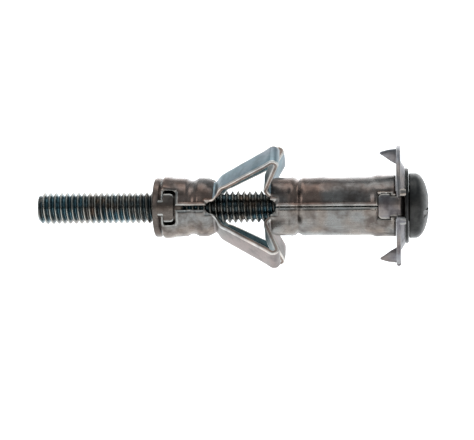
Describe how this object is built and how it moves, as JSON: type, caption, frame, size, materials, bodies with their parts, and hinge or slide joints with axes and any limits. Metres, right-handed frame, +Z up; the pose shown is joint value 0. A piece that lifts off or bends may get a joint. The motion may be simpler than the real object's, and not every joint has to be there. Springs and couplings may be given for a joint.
{
  "type": "wall anchor",
  "caption": "Metal cavity wall anchor drawn fully set: slotted flange with prongs, split sleeve with folded legs, keyed nut, pan-head machine screw and washer.",
  "frame": {"origin": "where the screw's axis meets the back face of the flange, which is the face of the wall", "axes": "+X along the screw towards its head, out of the wall; +Z up; seams of the sleeve face -Y and +Y"},
  "size_m": [0.0473, 0.0142, 0.0148],
  "materials": {
    "screw_steel": "zinc plated, darkened",
    "washer_steel": "dark, satin",
    "flange_steel": "zinc plated",
    "sleeve_steel": "zinc plated, warm",
    "leg_steel": "zinc plated, bright",
    "nut_steel": "zinc plated"
  },
  "bodies": {
    "sleeve": {"flange_plate": "flange_steel", "barrel_upper": "sleeve_steel", "barrel_lower": "sleeve_steel"},
    "screw": {"screw": "screw_steel"},
    "washer": {"washer": "washer_steel"},
    "nut_end": {"nut": "nut_steel", "collar_upper": "sleeve_steel", "collar_lower": "sleeve_steel"},
    "short_leg_upper_right": {"short_leg_upper_right": "leg_steel"},
    "long_leg_upper_right": {"long_leg_upper_right": "leg_steel"},
    "short_leg_upper_left": {"short_leg_upper_left": "leg_steel"},
    "long_leg_upper_left": {"long_leg_upper_left": "leg_steel"},
    "short_leg_lower_left": {"short_leg_lower_left": "leg_steel"},
    "long_leg_lower_left": {"long_leg_lower_left": "leg_steel"},
    "short_leg_lower_right": {"short_leg_lower_right": "leg_steel"},
    "long_leg_lower_right": {"long_leg_lower_right": "leg_steel"}
  },
  "joints": [
    {"name": "screw_turn", "type": "hinge", "parent": "sleeve", "child": "screw", "pos_m": [0, 0, 0], "axis": [1, 0, 0], "range_deg": [0, 1800]},
    {"name": "washer_spin", "type": "hinge", "parent": "sleeve", "child": "washer", "pos_m": [0.0012, 0, 0], "axis": [1, 0, 0], "continuous": true},
    {"name": "nut_travel", "type": "slide", "parent": "sleeve", "child": "nut_end", "axis": [-1, 0, 0], "range_m": [0, 0.0035]},
    {"name": "barrel_fold_upper_right", "type": "hinge", "parent": "sleeve", "child": "short_leg_upper_right", "pos_m": [-0.01551, 0.00209, 0.00249], "axis": [0, -0.766, 0.6428], "range_deg": [0, 38.6]},
    {"name": "elbow_fold_upper_right", "type": "hinge", "parent": "short_leg_upper_right", "child": "long_leg_upper_right", "pos_m": [-0.01408, 0.00525, 0.00625], "axis": [0, -0.766, 0.6428], "range_deg": [-40, 0]},
    {"name": "barrel_fold_upper_left", "type": "hinge", "parent": "sleeve", "child": "short_leg_upper_left", "pos_m": [-0.01551, -0.00209, 0.00249], "axis": [0, -0.766, -0.6428], "range_deg": [0, 38.6]},
    {"name": "elbow_fold_upper_left", "type": "hinge", "parent": "short_leg_upper_left", "child": "long_leg_upper_left", "pos_m": [-0.01408, -0.00525, 0.00625], "axis": [0, -0.766, -0.6428], "range_deg": [-40, 0]},
    {"name": "barrel_fold_lower_left", "type": "hinge", "parent": "sleeve", "child": "short_leg_lower_left", "pos_m": [-0.01551, -0.00209, -0.00249], "axis": [0, 0.766, -0.6428], "range_deg": [0, 38.6]},
    {"name": "elbow_fold_lower_left", "type": "hinge", "parent": "short_leg_lower_left", "child": "long_leg_lower_left", "pos_m": [-0.01408, -0.00525, -0.00625], "axis": [0, 0.766, -0.6428], "range_deg": [-40, 0]},
    {"name": "barrel_fold_lower_right", "type": "hinge", "parent": "sleeve", "child": "short_leg_lower_right", "pos_m": [-0.01551, 0.00209, -0.00249], "axis": [0, 0.766, 0.6428], "range_deg": [0, 38.6]},
    {"name": "elbow_fold_lower_right", "type": "hinge", "parent": "short_leg_lower_right", "child": "long_leg_lower_right", "pos_m": [-0.01408, 0.00525, -0.00625], "axis": [0, 0.766, 0.6428], "range_deg": [-40, 0]}
  ],
  "couplings": [
    {"joint": "screw_turn", "follows": "nut_travel", "rad_per_m": 8976},
    {"joint": "barrel_fold_upper_right", "follows": "nut_travel", "rad_per_m": 192.05},
    {"joint": "elbow_fold_upper_right", "follows": "nut_travel", "rad_per_m": -199.01},
    {"joint": "barrel_fold_upper_left", "follows": "nut_travel", "rad_per_m": 192.05},
    {"joint": "elbow_fold_upper_left", "follows": "nut_travel", "rad_per_m": -199.01},
    {"joint": "barrel_fold_lower_left", "follows": "nut_travel", "rad_per_m": 192.05},
    {"joint": "elbow_fold_lower_left", "follows": "nut_travel", "rad_per_m": -199.01},
    {"joint": "barrel_fold_lower_right", "follows": "nut_travel", "rad_per_m": 192.05},
    {"joint": "elbow_fold_lower_right", "follows": "nut_travel", "rad_per_m": -199.01}
  ]
}
